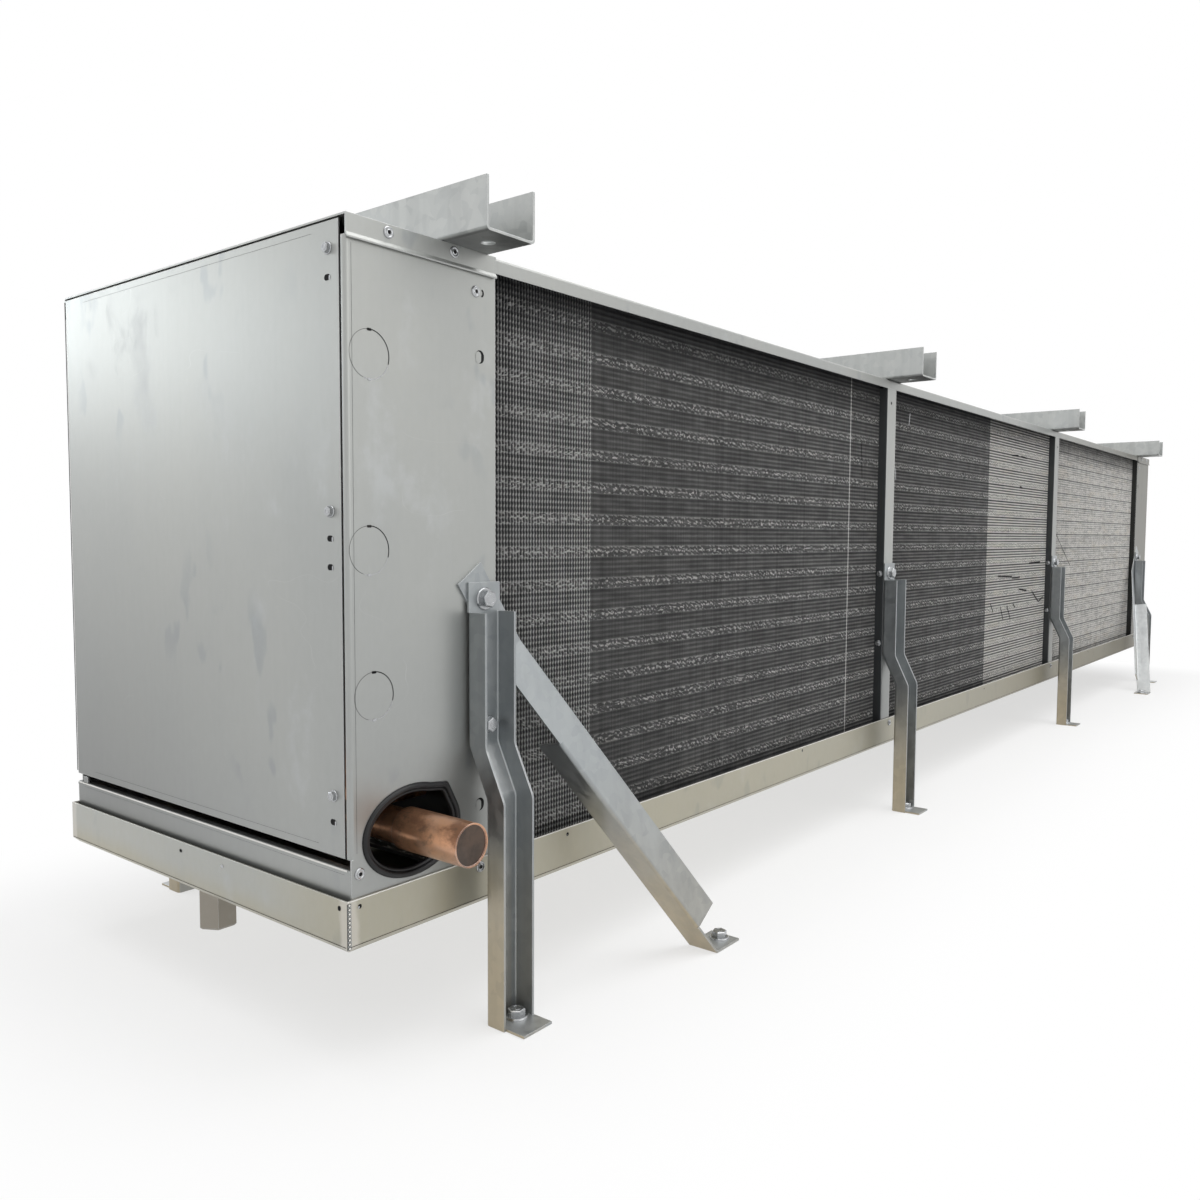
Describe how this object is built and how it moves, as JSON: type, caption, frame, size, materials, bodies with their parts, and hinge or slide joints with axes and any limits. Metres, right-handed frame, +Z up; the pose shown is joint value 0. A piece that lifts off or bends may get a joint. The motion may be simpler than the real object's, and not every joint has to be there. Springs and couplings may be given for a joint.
{
  "type": "refrigeration evaporator unit cooler",
  "caption": "Long ceiling evaporator with a finned coil face, fans behind guards, drain pan, hanger channels and braced floor legs.",
  "frame": {"origin": "on the floor, at the middle of the bounding box", "axes": "+X along the length away from the suction end, +Y from the coil face to the fan side, +Z up"},
  "size_m": [3.5092, 0.8057, 0.825],
  "materials": {
    "casing": "smooth mill-finish sheet with faint streaks",
    "pan_metal": "smooth mill-finish sheet",
    "galvanised": "plain galvanised sheet steel",
    "fins": "thin rippled fins, dark between them",
    "copper": "tarnished copper tube",
    "brass": "dull yellow-brown fitting",
    "rubber": "smooth black edging",
    "fan_metal": "plain sheet blades",
    "motor_paint": "dark semi-gloss paint",
    "zinc_plated": "zinc-plated wire"
  },
  "bodies": {
    "root": {"drain_pan": "pan_metal", "drain_coupling": "brass", "top_cover": "casing", "end_cover_near": "casing", "end_cover_far": "casing", "header_panel_near": "casing", "header_panel_far": "casing", "end_panel_near": "casing", "end_panel_far": "casing", "end_sill_near": "casing", "end_sill_far": "casing", "tube_sheet_near": "casing", "tube_sheet_far": "casing", "suction_grommet": "rubber", "suction_line": "copper", "coil_support_1": "casing", "coil_support_2": "casing", "coil_bay_1": "fins", "fan_panel_1": "casing", "fan_1": "fan_metal", "fan_motor_1": "motor_paint", "fan_guard_1": "zinc_plated", "coil_bay_2": "fins", "fan_panel_2": "casing", "fan_2": "fan_metal", "fan_motor_2": "motor_paint", "fan_guard_2": "zinc_plated", "coil_bay_3": "fins", "fan_panel_3": "casing", "fan_3": "fan_metal", "fan_motor_3": "motor_paint", "fan_guard_3": "zinc_plated", "hanger_channel_1": "galvanised", "coil_side_leg_1": "galvanised", "fan_side_leg_1": "galvanised", "hanger_channel_2": "galvanised", "coil_side_leg_2": "galvanised", "fan_side_leg_2": "galvanised", "hanger_channel_3": "galvanised", "coil_side_leg_3": "galvanised", "fan_side_leg_3": "galvanised", "hanger_channel_4": "galvanised", "coil_side_leg_4": "galvanised", "fan_side_leg_4": "galvanised", "coil_side_brace_near": "galvanised", "coil_side_brace_far": "galvanised", "fan_side_brace_near": "galvanised", "fan_side_brace_far": "galvanised"}
  },
  "joints": []
}
